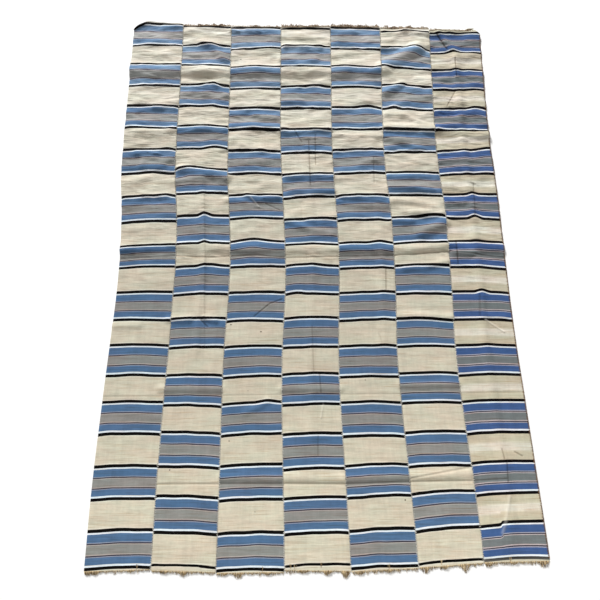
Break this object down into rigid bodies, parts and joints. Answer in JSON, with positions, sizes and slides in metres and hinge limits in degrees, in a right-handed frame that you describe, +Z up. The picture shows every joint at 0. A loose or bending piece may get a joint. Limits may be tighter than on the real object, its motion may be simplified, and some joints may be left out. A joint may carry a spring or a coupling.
{
  "type": "strip-woven cotton blanket",
  "caption": "Flat handwoven cotton blanket of narrow striped strips sewn edge to edge, with storage creases and a short raw fringe at both ends.",
  "frame": {"origin": "on the ground under the middle of the blanket's length and width", "axes": "+Y along the strips towards the head end, +X across the strips to the right, +Z up out of the cloth"},
  "size_m": [1.1392, 1.6701, 0.0145],
  "materials": {
    "woven_cotton": "matte handwoven cotton, blue, grey, cream, black and white stripes",
    "dark_woven_cotton": "matte handwoven cotton from a darker, bluer dye lot",
    "raw_warp_cotton": "matte unbleached cotton yarn, frayed"
  },
  "bodies": {
    "root": {"strip_1": "woven_cotton", "strip_2": "woven_cotton", "strip_3": "woven_cotton", "strip_4": "woven_cotton", "strip_5": "woven_cotton", "strip_6": "woven_cotton", "strip_7": "dark_woven_cotton", "foot_fringe_1": "raw_warp_cotton", "foot_fringe_2": "raw_warp_cotton", "foot_fringe_3": "raw_warp_cotton", "foot_fringe_4": "raw_warp_cotton", "foot_fringe_5": "raw_warp_cotton", "foot_fringe_6": "raw_warp_cotton", "foot_fringe_7": "raw_warp_cotton", "head_fringe_2": "raw_warp_cotton", "head_fringe_3": "raw_warp_cotton", "head_fringe_4": "raw_warp_cotton", "head_fringe_5": "raw_warp_cotton", "head_fringe_6": "raw_warp_cotton", "head_fringe_7": "raw_warp_cotton"}
  },
  "joints": []
}
